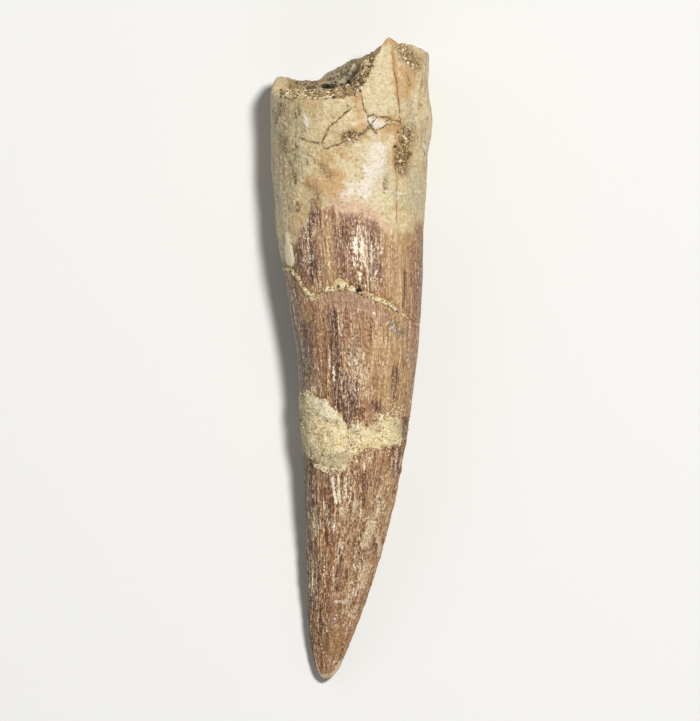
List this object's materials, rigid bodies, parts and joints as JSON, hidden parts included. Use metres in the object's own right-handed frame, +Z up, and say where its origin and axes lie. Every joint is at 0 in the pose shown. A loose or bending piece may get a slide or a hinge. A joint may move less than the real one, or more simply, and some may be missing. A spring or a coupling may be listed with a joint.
{
  "type": "fossil elasmosaurus tooth",
  "caption": "Long, slightly curved conical fossil tooth with a broken open root, a striated crown, a zigzag break and a collar of sandy matrix, lying on its side.",
  "frame": {"origin": "on the surface the tooth lies on, under the middle of its box", "axes": "+Y along the tooth towards its root end, +Z up, +X to the right when seen from above with the root end away from the viewer"},
  "size_m": [0.0162, 0.0642, 0.0128],
  "materials": {
    "fossil_tooth": "cream root with fine cracks, glossy brown striated enamel on the crown",
    "sandy_matrix": "matt, pale yellow, granular",
    "cavity_sediment": "dark grey, coarse and crystalline"
  },
  "bodies": {
    "root": {"tooth": "fossil_tooth", "sand_collar": "sandy_matrix", "cavity_crust": "cavity_sediment"}
  },
  "joints": []
}
